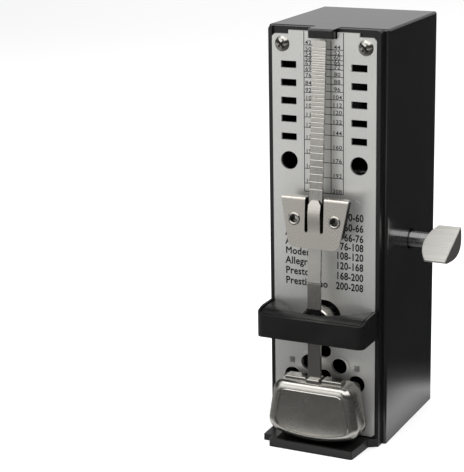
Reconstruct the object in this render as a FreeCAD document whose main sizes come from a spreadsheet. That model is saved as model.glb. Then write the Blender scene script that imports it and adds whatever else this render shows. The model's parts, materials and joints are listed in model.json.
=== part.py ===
import FreeCAD, Part
# Small tower metronome: a spring-driven movement in a gloss case, a leaf
# pendulum with a sliding weight in front of a dial plate, and a winding key
# on the right-hand side.  Millimetres.  +X right, +Z up, the dial faces -Y.
# The origin is the centre of the case footprint on the surface it stands on.
import math
import os

V = FreeCAD.Vector
doc = FreeCAD.newDocument("metronome")
sheet = doc.addObject("Spreadsheet::Sheet", "Dims")
_row = [0]
VAL = {}


def dim(alias, value):
    """A driving dimension: one cell with an alias."""
    _row[0] += 1
    cell = "B%d" % _row[0]
    sheet.set("A%d" % _row[0], alias)
    sheet.set(cell, repr(float(value)))
    sheet.setAlias(cell, alias)
    VAL[alias] = float(value)
    return float(value)


# ---------------------------------------------------------------- dimensions
case_w = dim("case_w", 36.0)
case_d = dim("case_d", 40.0)
case_ht = dim("case_ht", 121.0)
wall = dim("wall", 1.8)
edge_r = dim("edge_r", 0.7)
catch_w = dim("catch_w", 7.6)
catch_out = dim("catch_out", 5.4)
catch_drop = dim("catch_drop", 2.6)
frame_w = dim("frame_w", 33.6)
frame_top = dim("frame_top", 120.9)
frame_front = dim("frame_front", -22.9)
frame_back = dim("frame_back", -17.6)
plate_w = dim("plate_w", 31.2)
plate_front = dim("plate_front", -23.0)
plate_th = dim("plate_th", 0.8)
plate_bottom = dim("plate_bottom", 2.85)
plate_top_side = dim("plate_top_side", 118.9)
plate_top_mid = dim("plate_top_mid", 120.0)
plate_mid_w = dim("plate_mid_w", 21.2)
slot_x = dim("slot_x", 10.6)
slot_z = dim("slot_z", 110.4)
slot_pitch = dim("slot_pitch", 5.13)
slot_w = dim("slot_w", 4.7)
slot_ht = dim("slot_ht", 2.0)
port_z = dim("port_z", 83.0)
port_r = dim("port_r", 2.62)
pivot_z = dim("pivot_z", 37.5)
pivot_hole_r = dim("pivot_hole_r", 5.3)
low_hole_x = dim("low_hole_x", 4.8)
low_hole_z = dim("low_hole_z", 23.2)
low_hole_r = dim("low_hole_r", 2.35)
screw_x = dim("screw_x", 12.5)
screw_z = dim("screw_z", 116.1)
screw_head_r = dim("screw_head_r", 2.22)
screw_head_ht = dim("screw_head_ht", 0.95)
rod_y = dim("rod_y", -30.1)
rod_w = dim("rod_w", 3.95)
rod_th = dim("rod_th", 0.8)
rod_tip_z = dim("rod_tip_z", 118.15)
flex_z = dim("flex_z", 50.0)
lean = dim("lean", 3.66)
arbor_r = dim("arbor_r", 1.5)
hub_r = dim("hub_r", 4.8)
guard_top = dim("guard_top", 41.1)
guard_bottom = dim("guard_bottom", 33.2)
guard_front = dim("guard_front", -34.5)
guard_w = dim("guard_w", 32.8)
bob_r = dim("bob_r", 35.2)
bob_front = dim("bob_front", -33.3)
bob_back = dim("bob_back", -25.6)
bob_top = dim("bob_top", 20.2)
foot_top = dim("foot_top", 2.5)
foot_front = dim("foot_front", -34.9)
groove_r = dim("groove_r", 36.6)
key_y = dim("key_y", -0.7)
key_z = dim("key_z", 57.2)
key_hole_r = dim("key_hole_r", 3.05)
key_shaft_r = dim("key_shaft_r", 2.3)
wind_r = dim("wind_r", 2.0)
run_gap = dim("run_gap", 0.05)
side_in = dim("side_in", 9.4)
side_th = dim("side_th", 1.5)
great_teeth = dim("great_teeth", 54)
great_mod = dim("great_mod", 0.5)
inter_teeth = dim("inter_teeth", 40)
inter_mod = dim("inter_mod", 0.4)
inter_leaves = dim("inter_leaves", 10)
escape_leaves = dim("escape_leaves", 8)
escape_teeth = dim("escape_teeth", 15)
escape_r = dim("escape_r", 6.0)
ratchet_teeth = dim("ratchet_teeth", 24)
ratchet_r = dim("ratchet_r", 4.6)
slider_top = dim("slider_top", 73.9)
slider_ht = dim("slider_ht", 13.9)
slider_w_top = dim("slider_w_top", 20.2)
slider_w_bot = dim("slider_w_bot", 15.5)
knob_x0 = dim("knob_x0", 23.8)
knob_x1 = dim("knob_x1", 32.7)
knob_turn = dim("knob_turn", 25.4)
doc.recompute()

FRONT = -case_d / 2
NODES = []


# -------------------------------------------------------------------- helpers
def bind(obj, **exprs):
    """Binds properties to cells: bind(box, Length='case_w', Width='case_d')."""
    for prop, expr in exprs.items():
        obj.setExpression(prop.replace("__", "."), _cells(expr))
    return obj


def _cells(expr):
    import re
    return re.sub(r"[a-z_]+[a-z0-9_]*", lambda m: "Dims." + m.group(0) if m.group(0) in VAL else m.group(0), expr)


def box(name, lx, ly, lz, px, py, pz):
    b = doc.addObject("Part::Box", name)
    bind(b, Length=str(lx), Width=str(ly), Height=str(lz))
    bind(b, **{"Placement__Base__x": str(px), "Placement__Base__y": str(py), "Placement__Base__z": str(pz)})
    return b


AX = {"Z": FreeCAD.Rotation(), "X": FreeCAD.Rotation(V(0, 1, 0), 90), "Y": FreeCAD.Rotation(V(1, 0, 0), -90)}


def cyl(name, r, length, axis, px, py, pz):
    """A cylinder from (px, py, pz) along +axis."""
    c = doc.addObject("Part::Cylinder", name)
    c.Placement = FreeCAD.Placement(V(0, 0, 0), AX[axis])
    bind(c, Radius=str(r), Height=str(length))
    bind(c, **{"Placement__Base__x": str(px), "Placement__Base__y": str(py), "Placement__Base__z": str(pz)})
    return c


def fuse(name, *objs):
    f = doc.addObject("Part::MultiFuse", name)
    f.Shapes = list(objs)
    f.Refine = True
    return f


def cut(name, base, *tools):
    tool = tools[0] if len(tools) == 1 else fuse(name + "_tools", *tools)
    c = doc.addObject("Part::Cut", name)
    c.Base, c.Tool = base, tool
    c.Refine = True
    return c


def plane_of(b, role):
    return [f for f in b.Origin.OriginFeatures if f.Role == role][0]


def sketch_on(b, name, role, offset=0.0):
    s = b.newObject("Sketcher::SketchObject", name)
    s.AttachmentSupport = [(plane_of(b, role), "")]
    s.MapMode = "FlatFace"
    if offset:
        s.AttachmentOffset = FreeCAD.Placement(V(0, 0, offset), FreeCAD.Rotation())
    return s


def loop(sk, pts):
    """A closed outline of straight lines in a sketch."""
    n = len(pts)
    first = sk.GeometryCount
    for i in range(n):
        a, b2 = pts[i], pts[(i + 1) % n]
        sk.addGeometry(Part.LineSegment(V(a[0], a[1], 0), V(b2[0], b2[1], 0)), False)
    import Sketcher
    for i in range(n):
        sk.addConstraint(Sketcher.Constraint("Coincident", first + i, 2, first + (i + 1) % n, 1))


def ring(sk, x, y, r, alias=None):
    import Sketcher
    i = sk.addGeometry(Part.Circle(V(x, y, 0), V(0, 0, 1), r), False)
    if alias:
        c = sk.addConstraint(Sketcher.Constraint("Radius", i, r))
        sk.setExpression("Constraints[%d]" % c, "Dims." + alias)


def body(name):
    return doc.addObject("PartDesign::Body", name)


def pad(b, sk, length, name, reverse=False):
    p = b.newObject("PartDesign::Pad", name)
    p.Profile = sk
    p.setExpression("Length", _cells(str(length)))
    p.Reversed = reverse
    sk.Visibility = False
    b.Tip = p
    return p


def pocket(b, sk, length, name, reverse=False):
    p = b.newObject("PartDesign::Pocket", name)
    p.Profile = sk
    p.setExpression("Length", _cells(str(length)))
    p.Reversed = reverse
    b.Tip = p
    return p


def solid(name, shape):
    """A piece whose outline no primitive or sketch suits."""
    f = doc.addObject("Part::Feature", name)
    f.Shape = shape
    return f


def prism_y(pts, y0, y1):
    """An outline in X, Z swept from y0 to y1."""
    w = Part.makePolygon([V(x, y0, z) for x, z in pts] + [V(pts[0][0], y0, pts[0][1])])
    return Part.Face(w).extrude(V(0, y1 - y0, 0))


def prism_x(pts, x0, x1):
    """An outline in Y, Z swept from x0 to x1."""
    w = Part.makePolygon([V(x0, y, z) for y, z in pts] + [V(x0, pts[0][0], pts[0][1])])
    return Part.Face(w).extrude(V(x1 - x0, 0, 0))


def prism_z(pts, z0, z1):
    w = Part.makePolygon([V(x, y, z0) for x, y in pts] + [V(pts[0][0], pts[0][1], z0)])
    return Part.Face(w).extrude(V(0, 0, z1 - z0))


def node(name, obj):
    obj.Label = name
    NODES.append((name, obj))
    return obj


def leaned(obj):
    """Leans a piece of the upper pendulum back with the rod, about the flexing point."""
    obj.Placement = FreeCAD.Placement(V(0, 0, 0), FreeCAD.Rotation(V(1, 0, 0), -lean), V(0, rod_y, flex_z)).multiply(obj.Placement)
    return obj


# ================================================================ case shell
outer = box("case_outer", "case_w", "case_d", "case_ht", "-case_w/2", "-case_d/2", "0")
outer_r = doc.addObject("Part::Fillet", "case_rounded")
outer_r.Base = outer
doc.recompute()
picks = []
for i, e in enumerate(outer.Shape.Edges, 1):
    c = e.CenterOfMass
    upright = abs(c.z - case_ht / 2) < 1e-6
    top = abs(c.z - case_ht) < 1e-6
    if upright or top:
        picks.append((i, edge_r, edge_r))
outer_r.Edges = picks
inner = box("case_hollow", "case_w-2*wall", "case_d-wall+1", "case_ht-wall+1", "-case_w/2+wall", "-case_d/2-1", "-1")
key_bore = cyl("case_key_bore", "key_hole_r", "8", "X", "case_w/2-5", "key_y", "key_z")
shell = cut("case_open", outer_r, inner, key_bore)
catch = solid("catch_block", Part.Shape())
_c = Part.makeBox(catch_w, catch_out + 2.6, catch_drop, V(-catch_w / 2, FRONT - catch_out, case_ht - catch_drop))
_e = []
for e in _c.Edges:
    c = e.CenterOfMass
    if abs(c.y - (FRONT - catch_out)) < 1e-6 and c.z > case_ht - catch_drop + 0.01:
        _e.append(e)
catch.Shape = _c.makeFillet(0.55, _e)
bosses = []
for k, sx in enumerate((-1, 1)):
    bosses.append(cyl("case_boss_%d" % k, "2.9", "14", "Z", "%f" % (sx * 13.6), "15.6", "foot_top"))
shell2 = fuse("case_with_catch", shell, catch, *bosses)
boss_bores = [cyl("case_boss_bore_%d" % k, "0.95", "9", "Z", "%f" % (sx * 13.6), "15.6", "foot_top-0.5") for k, sx in enumerate((-1, 1))]
base_rebate = box("case_rebate", "case_w-2*wall", "case_d-wall+1", "foot_top+1", "-case_w/2+wall", "-case_d/2-1", "-1")
node("case_shell", cut("case_shell_cut", shell2, base_rebate, *boss_bores))

# ================================================================ base plate
b = body("base_body")
sk = sketch_on(b, "base_outline", "XY_Plane")
w2 = frame_w / 2
ins = case_w / 2 - wall - 0.1
# the foot runs out square in front, with a lower ledge along its left side
loop(sk, [(-ins, case_d / 2 - wall - 0.1), (-ins, FRONT), (-w2, FRONT - 0.05), (-w2, frame_front + 0.1), (-15.9, -24.2), (-15.8, -31.1), (-12.7, -31.1),
          (-12.5, foot_front + 0.3), (-12.2, foot_front), (13.1, foot_front), (13.4, foot_front + 0.3), (14.3, -24.3), (w2, frame_front + 0.1),
          (w2, FRONT - 0.05), (ins, FRONT), (ins, case_d / 2 - wall - 0.1)])
pad(b, sk, "foot_top", "base_pad")
base_body = b
groove = cyl("base_groove", "groove_r", "11.4", "Y", "0", "foot_front+0.9", "pivot_z")
front_holes = [cyl("base_hole_f%d" % k, "1.3", "6", "Z", "%f" % (sx * 12.6), "-19.4", "-1") for k, sx in enumerate((-1, 1))]
back_holes = [cyl("base_hole_b%d" % k, "1.3", "6", "Z", "%f" % (sx * 13.6), "15.6", "-1") for k, sx in enumerate((-1, 1))]
sinks = [cyl("base_sink_%d" % k, "2.3", "1.5", "Z", "%f" % x, "%f" % y, "-0.2")
         for k, (x, y) in enumerate(((-12.6, -19.4), (12.6, -19.4), (-13.6, 15.6), (13.6, 15.6)))]
ledge = box("base_ledge", "4.3", "8.2", "1.5", "-16.9", "-32", "foot_top-0.55")
node("base_plate", cut("base_plate_cut", base_body, groove, ledge, *(front_holes + back_holes + sinks)))

# =============================================================== front frame
fr_flange = box("frame_flange", "frame_w", "-frame_front-case_d/2", "frame_top-foot_top", "-frame_w/2", "frame_front", "foot_top")
fr_round = doc.addObject("Part::Fillet", "frame_flange_round")
fr_round.Base = fr_flange
doc.recompute()
fr_round.Edges = [(i, 0.9, 0.9) for i, e in enumerate(fr_flange.Shape.Edges, 1)
                  if abs(e.CenterOfMass.z - frame_top) < 1e-6 and abs(abs(e.CenterOfMass.x) - frame_w / 2) < 1e-6]
fr_plug = box("frame_plug", "case_w-2*wall-0.2", "frame_back+case_d/2", "case_ht-wall-0.1-foot_top", "-case_w/2+wall+0.1", "-case_d/2", "foot_top")
fr_body = fuse("frame_body", fr_flange and fr_round, fr_plug)
fr_seat = box("frame_seat", "plate_w+0.1", "plate_th+0.1", "frame_top", "-plate_w/2-0.05", "plate_front-0.1+0.1", "plate_bottom-0.1")
fr_window = box("frame_window", "26", "12", "103", "-13", "-26", "9")
fr_catch = box("frame_catch_gap", "catch_w+0.4", "6", "6", "-catch_w/2-0.2", "frame_front-1", "case_ht-catch_drop-0.3")
fr_catch2 = box("frame_catch_gap2", "catch_w+0.4", "8", "1.6", "-catch_w/2-0.2", "frame_front-1", "case_ht-catch_drop-0.3")
fr_bores = [cyl("frame_bore_%d" % k, "0.85", "3.4", "Y", "%f*screw_x" % sx, "plate_front+plate_th-0.1", "screw_z") for k, sx in enumerate((-1, 1))]
fr_bores += [box("frame_guard_slot_%d" % k, "0.64", "4.5", "4.44", "%f-0.32" % (sx * 16.1), "plate_front-0.2", "34.88") for k, sx in enumerate((-1, 1))]
fr_bores += [cyl("frame_low_bore_%d" % k, "0.95", "5.2", "Z", "%f" % (sx * 12.6), "-19.4", "foot_top-0.5") for k, sx in enumerate((-1, 1))]
node("front_frame", cut("front_frame_cut", fr_body, fr_seat, fr_window, fr_catch, fr_catch2, *fr_bores))

# ================================================================ dial plate
b = body("dial_body")
sk = sketch_on(b, "dial_outline", "XZ_Plane")
p2, m2, n2 = plate_w / 2, plate_mid_w / 2, catch_w / 2 + 0.3
zt, zm, zb = plate_top_side, plate_top_mid, plate_bottom
loop(sk, [(-p2 + 0.8, zb), (p2 - 0.8, zb), (p2, zb + 0.8), (p2, zt - 0.8), (p2 - 0.8, zt), (m2, zt), (m2, zm), (n2, zm),
          (n2, case_ht - catch_drop - 0.3), (-n2, case_ht - catch_drop - 0.3), (-n2, zm), (-m2, zm), (-m2, zt),
          (-p2 + 0.8, zt), (-p2, zt - 0.8), (-p2, zb + 0.8)])
for sx in (-1, 1):
    for k in range(5):
        zc = slot_z - k * slot_pitch
        loop(sk, [(sx * slot_x - slot_w / 2, zc - slot_ht / 2), (sx * slot_x + slot_w / 2, zc - slot_ht / 2),
                  (sx * slot_x + slot_w / 2, zc + slot_ht / 2), (sx * slot_x - slot_w / 2, zc + slot_ht / 2)])
    ring(sk, sx * slot_x, port_z, port_r, "port_r")
    ring(sk, sx * screw_x, screw_z, 1.1)
    ring(sk, sx * low_hole_x, low_hole_z, low_hole_r, "low_hole_r")
    ring(sk, sx * 10.05, 18.4, 2.5)
    loop(sk, [(sx * 10.15 - 0.8, 22.35), (sx * 10.15 + 0.8, 22.35), (sx * 10.15 + 0.8, 24.05), (sx * 10.15 - 0.8, 24.05)])
    ring(sk, sx * 9.95, 71.85, 0.46)
ring(sk, 0, pivot_z, pivot_hole_r, "pivot_hole_r")
ring(sk, 0, 27.3, 2.1)
ring(sk, 0, 19.3, 2.2)
pad(b, sk, "plate_th", "dial_pad", reverse=True)
# the sketch plane is Y = 0, so the body is moved to the seat in the frame
b.Placement = FreeCAD.Placement(V(0, 0, 0), FreeCAD.Rotation())
dial_body = b
doc.recompute()
ymin = dial_body.Shape.BoundBox.YMin
b.Placement = FreeCAD.Placement(V(0, plate_front - ymin, 0), FreeCAD.Rotation())
rims = []
for k, sx in enumerate((-1, 1)):
    o = cyl("rim_out_%d" % k, "low_hole_r+0.75", "plate_th+0.35", "Y", "%d*low_hole_x" % sx, "plate_front-0.35", "low_hole_z")
    i = cyl("rim_in_%d" % k, "low_hole_r", "4", "Y", "%d*low_hole_x" % sx, "plate_front-2", "low_hole_z")
    rims.append(cut("rim_%d" % k, o, i))
node("dial_plate", fuse("dial_plate_fused", dial_body, *rims))


def cross_screw(name, x, z, y_face, head_r, head_ht, shank_r, shank_l):
    """A domed cross-recess screw whose head stands in front of y_face (towards -Y)."""
    big = (head_r ** 2 + head_ht ** 2) / (2 * head_ht)
    dome = Part.makeSphere(big, V(x, y_face - head_ht + big, z))
    rim = Part.makeCylinder(head_r, head_ht, V(x, y_face, z), V(0, -1, 0))
    head = rim.common(dome)
    shank = Part.makeCylinder(shank_r, shank_l, V(x, y_face - 0.02, z), V(0, 1, 0))
    s = head.fuse(shank)
    for a, b2 in ((0.56, 2.4), (2.4, 0.56)):
        s = s.cut(Part.makeBox(a, head_ht * 0.85, b2, V(x - a / 2, y_face - head_ht - 0.01, z - b2 / 2)))
    s = s.cut(Part.makeCylinder(0.55, head_ht * 1.5, V(x, y_face - head_ht - 0.01, z), V(0, 1, 0)))
    s = s.removeSplitter()
    s.rotate(V(x, 0, z), V(0, 1, 0), 45)
    return s


node("dial_screws", solid("dial_screws_f", Part.makeCompound([
    cross_screw("s", sx * screw_x, screw_z, plate_front, screw_head_r, screw_head_ht, 0.84, 3.9) for sx in (-1, 1)])))
node("dial_rivets", solid("dial_rivets_f", Part.makeCompound([
    Part.makeCylinder(0.44, plate_th + 2.3, V(sx * 9.95, plate_front - 0.02, 71.85), V(0, 1, 0)).fuse(
        Part.makeCylinder(1.1, 0.22, V(sx * 9.95, plate_front, 71.85), V(0, -1, 0))) for sx in (-1, 1)])))

# ============================================================ pendulum guard
gw = guard_w / 2
gb = plate_front - 0.02


def guard_outline(inset, y_back):
    """The guard's outer outline from above, drawn inset by a distance, its front corners rounded."""
    r = 1.9 - inset
    x, y = gw - inset, guard_front + inset
    k = r * (1 - math.sqrt(0.5))
    es = [Part.makeLine(V(-x, y_back, 0), V(-x, y + r, 0)), Part.Arc(V(-x, y + r, 0), V(-x + k, y + k, 0), V(-x + r, y, 0)).toShape(),
          Part.makeLine(V(-x + r, y, 0), V(x - r, y, 0)), Part.Arc(V(x - r, y, 0), V(x - k, y + k, 0), V(x, y + r, 0)).toShape(),
          Part.makeLine(V(x, y + r, 0), V(x, y_back, 0)), Part.makeLine(V(x, y_back, 0), V(-x, y_back, 0))]
    f = Part.Face(Part.Wire(es)).extrude(V(0, 0, guard_top + 2 - guard_bottom))
    f.translate(V(0, 0, guard_bottom))
    return f


def over(lift):
    """The space above the guard's top, which is level near the dial and falls away to the front."""
    prof = [(gb + 1, guard_top), (-29.6, guard_top - 0.03), (-31.0, guard_top - 0.22), (-32.4, guard_top - 0.66), (-33.5, guard_top - 1.18), (guard_front - 0.5, guard_top - 1.85)]
    return prism_x([(y, z + lift) for y, z in prof] + [(guard_front - 0.5, guard_top + 5), (gb + 1, guard_top + 5)], -20, 20)


opening = prism_z([(-15.1, gb + 1), (-15.1, gb), (-8.8, -28.9), (-5.4, -30.8), (-3.0, -31.35), (3.0, -31.35), (5.4, -30.8), (8.8, -28.9), (15.1, gb), (15.1, gb + 1)], guard_bottom - 1, guard_top + 3)
g = guard_outline(0, gb).cut(over(0))
# a lip round the top edge, with a shallow channel inside it
g = g.fuse(guard_outline(0, gb).cut(guard_outline(0.62, gb + 1)).cut(over(0.32)))
g = g.cut(guard_outline(0.62, gb + 1).cut(guard_outline(1.2, gb + 2)).cut(prism_x([(gb + 2, 0), (guard_front - 2, 0), (guard_front - 2, guard_top - 2.3), (-33.5, guard_top - 1.18 - 0.42), (-32.4, guard_top - 0.66 - 0.38), (-31.0, guard_top - 0.22 - 0.36), (-29.6, guard_top - 0.36), (gb + 2, guard_top - 0.36)], -20, 20)))
g = g.cut(opening)
# hollow underneath, with walls left all round
hollow = prism_z([(-gw + 1.4, -26.2), (-gw + 1.4, guard_front + 2.2), (-gw + 2.4, guard_front + 1.3), (gw - 2.4, guard_front + 1.3), (gw - 1.4, guard_front + 2.2), (gw - 1.4, -26.2),
                  (12.4, -27.0), (8.2, -31.0), (4.8, -32.3), (-4.8, -32.3), (-8.2, -31.0), (-12.4, -27.0)], guard_bottom - 1, guard_bottom + 4.2)
g = g.cut(hollow)
# two tenons plug into the front frame beside the dial
for sx in (-1, 1):
    g = g.fuse(Part.makeBox(0.6, 2.9, 4.4, V(sx * 16.1 - 0.3, gb - 0.3, 34.9)))
lower_e = [e for e in g.Edges if abs(e.BoundBox.ZMax - guard_bottom) < 1e-4 and e.BoundBox.YMin < guard_front + 2.5 and e.BoundBox.YMin < guard_front + 0.01 or (abs(e.BoundBox.ZMax - guard_bottom) < 1e-4 and abs(abs(e.CenterOfMass.x) - gw) < 0.4)]
try:
    g = g.makeFillet(0.9, lower_e)
except Exception:
    pass
node("pendulum_guard", solid("pendulum_guard_f", g.removeSplitter()))

# =========================================================== pendulum leaf rod
up = Part.makeBox(rod_w, rod_th, rod_tip_z - flex_z, V(-rod_w / 2, rod_y - rod_th / 2, flex_z))
up = up.fuse(Part.makeCylinder(rod_th / 2, rod_w, V(-rod_w / 2, rod_y, flex_z), V(1, 0, 0))).removeSplitter()
up = up.makeFillet(0.5, [e for e in up.Edges if abs(e.CenterOfMass.z - rod_tip_z) < 1e-6 and abs(abs(e.CenterOfMass.x) - rod_w / 2) < 1e-6])
marks = (115.14, 113.60, 112.25, 110.99, 109.64, 107.62, 105.54, 103.47, 101.25, 99.03, 96.96, 94.29, 91.12, 87.08, 83.23, 78.94,
         116.2, 114.35, 112.9, 111.6, 110.3, 108.7, 106.6, 104.5, 102.4, 100.1, 98.0, 95.6, 92.7, 89.1, 85.1, 81.1, 76.8)
yf = rod_y - rod_th / 2
teeth = [prism_x([(yf - 0.1, zc - 0.24), (yf - 0.1, zc + 0.24), (yf + 0.1, zc)], -rod_w / 2 - 0.5, rod_w / 2 + 0.5) for zc in marks]
up = up.cut(Part.makeCompound(teeth))
rod = solid("pendulum_rod_f", up)
leaned(rod)
node("pendulum_rod", rod)

low = Part.makeBox(rod_w, rod_th, flex_z - rod_th / 2 - 0.06 - 12.0, V(-rod_w / 2, rod_y - rod_th / 2, 12.0))
for dz in (-2.3, 2.3):
    low = low.cut(Part.makeCylinder(0.55, 4, V(0, rod_y - 2, pivot_z + dz), V(0, 1, 0)))
low = low.cut(Part.makeCylinder(0.75, 4, V(0, rod_y - 2, 14.6), V(0, 1, 0)))
node("lower_rod", solid("lower_rod_f", low))

hub_front = rod_y + rod_th / 2
hub = Part.makeCylinder(hub_r, 1.1, V(0, hub_front, pivot_z), V(0, 1, 0))
hub = hub.makeChamfer(0.35, [e for e in hub.Edges if abs(e.CenterOfMass.y - hub_front) < 1e-6 and e.Length > 20])
hub = hub.fuse(Part.makeCylinder(4.1, 4.6, V(0, hub_front + 0.9, pivot_z), V(0, 1, 0)))
hub = hub.cut(Part.makeCylinder(3.2, 1.2, V(0, hub_front + 4.5, pivot_z), V(0, 1, 0)))
hub = hub.cut(Part.makeCylinder(arbor_r, 8, V(0, hub_front + 1.0, pivot_z), V(0, 1, 0)))
for dz in (-2.3, 2.3):
    hub = hub.cut(Part.makeCylinder(0.55, 1.6, V(0, hub_front - 0.1, pivot_z + dz), V(0, 1, 0)))
node("pendulum_hub", solid("pendulum_hub_f", hub.removeSplitter()))
clamp_th = 0.35
clamp = Part.makeBox(4.3, clamp_th, 8.4, V(-2.15, rod_y - rod_th / 2 - clamp_th, 33.85))
for dz in (-2.3, 2.3):
    clamp = clamp.cut(Part.makeCylinder(0.55, 2, V(0, rod_y - 2, pivot_z + dz), V(0, 1, 0)))
for k in range(5):
    clamp = clamp.cut(Part.makeBox(0.3, 0.2, 1.3, V(-1.75 + k * 0.8, rod_y - rod_th / 2 - clamp_th - 0.01, 41.1)))
node("rod_clamp", solid("rod_clamp_f", clamp))
node("hub_rivets", solid("hub_rivets_f", Part.makeCompound([
    Part.makeCylinder(0.55, 0.8 + 1.4 + clamp_th, V(0, rod_y - rod_th / 2 - clamp_th - 0.01, pivot_z + dz), V(0, 1, 0)).fuse(
        Part.makeCylinder(0.95, 0.22, V(0, rod_y - rod_th / 2 - clamp_th, pivot_z + dz), V(0, -1, 0))) for dz in (-2.3, 2.3)])))

arbor = Part.makeCylinder(arbor_r, 15.6 + 28.6, V(0, -28.6, pivot_z), V(0, 1, 0))
arbor = arbor.fuse(Part.makeCylinder(2.3, 0.6, V(0, -15.5, pivot_z), V(0, 1, 0))).fuse(
    Part.makeCylinder(2.3, 0.45, V(0, 13.4, pivot_z), V(0, 1, 0))).removeSplitter()
node("pendulum_arbor", solid("pendulum_arbor_f", arbor))

# ------------------------------------------------------------ lower weight
bz = pivot_z


def bob_block(grow, y0, y1, corner):
    """The lower weight's outline swept from y0 to y1: a trapezium on an arc about the pivot, its corners rounded."""
    r = bob_r + grow
    xb, xt = 14.3 + grow, 12.0 + grow
    zb3 = bz - math.sqrt(r * r - xb * xb)
    zt3 = bob_top + grow
    p = [V(-xb, y0, zb3), V(xb, y0, zb3), V(xt, y0, zt3), V(-xt, y0, zt3)]
    w4 = Part.Wire([Part.Arc(p[0], V(0, y0, bz - r), p[1]).toShape(), Part.makeLine(p[1], p[2]), Part.makeLine(p[2], p[3]), Part.makeLine(p[3], p[0])])
    blk4 = Part.Face(w4).extrude(V(0, y1 - y0, 0))
    ym = (y0 + y1) / 2
    return blk4.makeFillet(corner, [e for e in blk4.Edges if abs(e.CenterOfMass.y - ym) < 1e-6 and abs(e.Length - (y1 - y0)) < 1e-6])


depth = bob_back - bob_front
bob = bob_block(0, bob_front, bob_back, 3.9)
front_edges = [e for e in bob.Edges if abs(e.CenterOfMass.y - bob_front) < 1e-6]
bob = bob.makeFillet(2.5, front_edges)
# a raised step across the top, notched beside the rod, which enters behind its middle
for xa, xb5, yf in ((-8.9, -2.5, -30.9), (2.5, 8.4, -30.9), (-1.9, 1.9, -31.75)):
    hump = Part.makeBox(xb5 - xa, -27.2 - yf, 1.5, V(xa, yf, bob_top - 0.4))
    hump = hump.makeFillet(0.35, [e for e in hump.Edges if abs(e.CenterOfMass.z - (bob_top + 1.1)) < 1e-6])
    bob = bob.fuse(hump)
bob = bob.fuse(Part.makeBox(6.0, 3.0, 0.9, V(-3.0, -30.2, bob_top - 0.4)))
# the front panel lies inside a fine raised line
bead = bob_block(-2.25, bob_front - 0.16, bob_front + 0.6, 2.6)
bead = bead.makeChamfer(0.15, [e for e in bead.Edges if abs(e.CenterOfMass.y - (bob_front - 0.16)) < 1e-6])
bob = bob.fuse(bead)
panel = bob_block(-2.72, bob_front - 1, bob_front + 0.3, 2.2)
bob = bob.cut(panel)
bob = bob.cut(Part.makeBox(rod_w + 0.04, rod_th + 0.04, 30, V(-rod_w / 2 - 0.02, rod_y - rod_th / 2 - 0.02, 11.98)))
bob = bob.cut(Part.makeCylinder(0.75, 5.0, V(0, bob_back - 4.6 - 0.4, 14.6), V(0, 1, 0)))
node("lower_weight", solid("lower_weight_f", bob.removeSplitter()))
back = bob_block(-0.35, bob_back, bob_back + 0.9, 1.6)
back = back.cut(Part.makeCylinder(0.75, 3.0, V(0, bob_back - 1, 14.6), V(0, 1, 0)))
node("lower_weight_back", solid("lower_weight_back_f", back.removeSplitter()))
pin = Part.makeCylinder(0.74, 5.9, V(0, bob_back - 4.6, 14.6), V(0, 1, 0)).fuse(Part.makeCylinder(1.4, 0.4, V(0, bob_back + 0.9, 14.6), V(0, 1, 0)))
node("lower_weight_rivet", solid("lower_weight_rivet_f", pin.removeSplitter()))

# ------------------------------------------------------------ sliding weight
# drawn on an upright rod, then leaned with it
sf = rod_y - 1.3           # front face of the sheet
st = 0.5                   # sheet thickness
zt, zb2 = slider_top, slider_top - slider_ht
wt, wb = slider_w_top / 2, slider_w_bot / 2
sheet_pts = [(-wb + 1.1, zb2), (wb - 1.1, zb2), (wb, zb2 + 1.1), (wt, zt), (2.85, zt), (2.85, zt - 8.9), (2.6, zt - 9.4), (2.1, zt - 9.4), (1.85, zt - 9.0),
             (-1.85, zt - 9.0), (-2.1, zt - 9.4), (-2.6, zt - 9.4), (-2.85, zt - 8.9), (-2.85, zt), (-wt, zt), (-wb, zb2 + 1.1)]
sh = prism_y(sheet_pts, sf, sf + st)
# tongue: springs forward between the slots, then its pointed tip bends back to the notches of the rod
ty = [(sf, zt - 9.1), (sf - 0.04, zt - 8.3), (sf - 0.13, zt - 7.2), (sf - 0.25, zt - 6.0), (sf - 0.34, zt - 5.0), (sf - 0.38, zt - 4.3), (sf - 0.36, zt - 3.7), (sf - 0.26, zt - 2.9),
      (sf - 0.05, zt - 1.8), (sf + 0.30, zt - 0.15)]
tongue = prism_x(ty + [(y + 0.47, z) for y, z in reversed(ty)], -1.85, 1.85)
tongue = tongue.cut(Part.makeBox(6, 0.6, 12, V(-3, rod_y - rod_th / 2 - 0.08, zt - 10)))
for sx in (-1, 1):
    tongue = tongue.cut(prism_y([(sx * 0.95, zt - 0.1), (sx * 1.95, zt - 1.55), (sx * 2.6, zt - 1.55), (sx * 2.6, zt + 0.5), (sx * 0.95, zt + 0.5)], sf - 3, sf + 3))
flange_back = rod_y + 1.72
for sx in (-1, 1):
    fl = prism_z([(sx * 2.85, sf), (sx * wt, sf), (sx * (wt - 0.2), flange_back - 1.3), (sx * (wt - 1.3), flange_back), (sx * 2.85, flange_back)], zt - 0.02, zt + st)
    sh = sh.fuse(fl)
# the sheet bends over into the flanges, and the tongue stands between them
br = 0.75
bend = Part.makeBox(30, 1 + br, 1 + br, V(-15, sf - 1, zt + st - br)).cut(Part.makeCylinder(br, 40, V(-20, sf + br, zt + st - br), V(1, 0, 0)))
bend = bend.cut(Part.makeBox(40, 3, 3, V(-20, sf + br, zt + st - br - 1)))
sh = sh.cut(bend).fuse(tongue)
for sx in (-1, 1):
    sh = sh.cut(Part.makeCylinder(1.2, 3, V(sx * 6.1, sf - 1, zt - 5.8), V(0, 1, 0)))
slider = solid("slider_housing_f", sh.removeSplitter())
leaned(slider)
node("slider_housing", slider)

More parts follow.
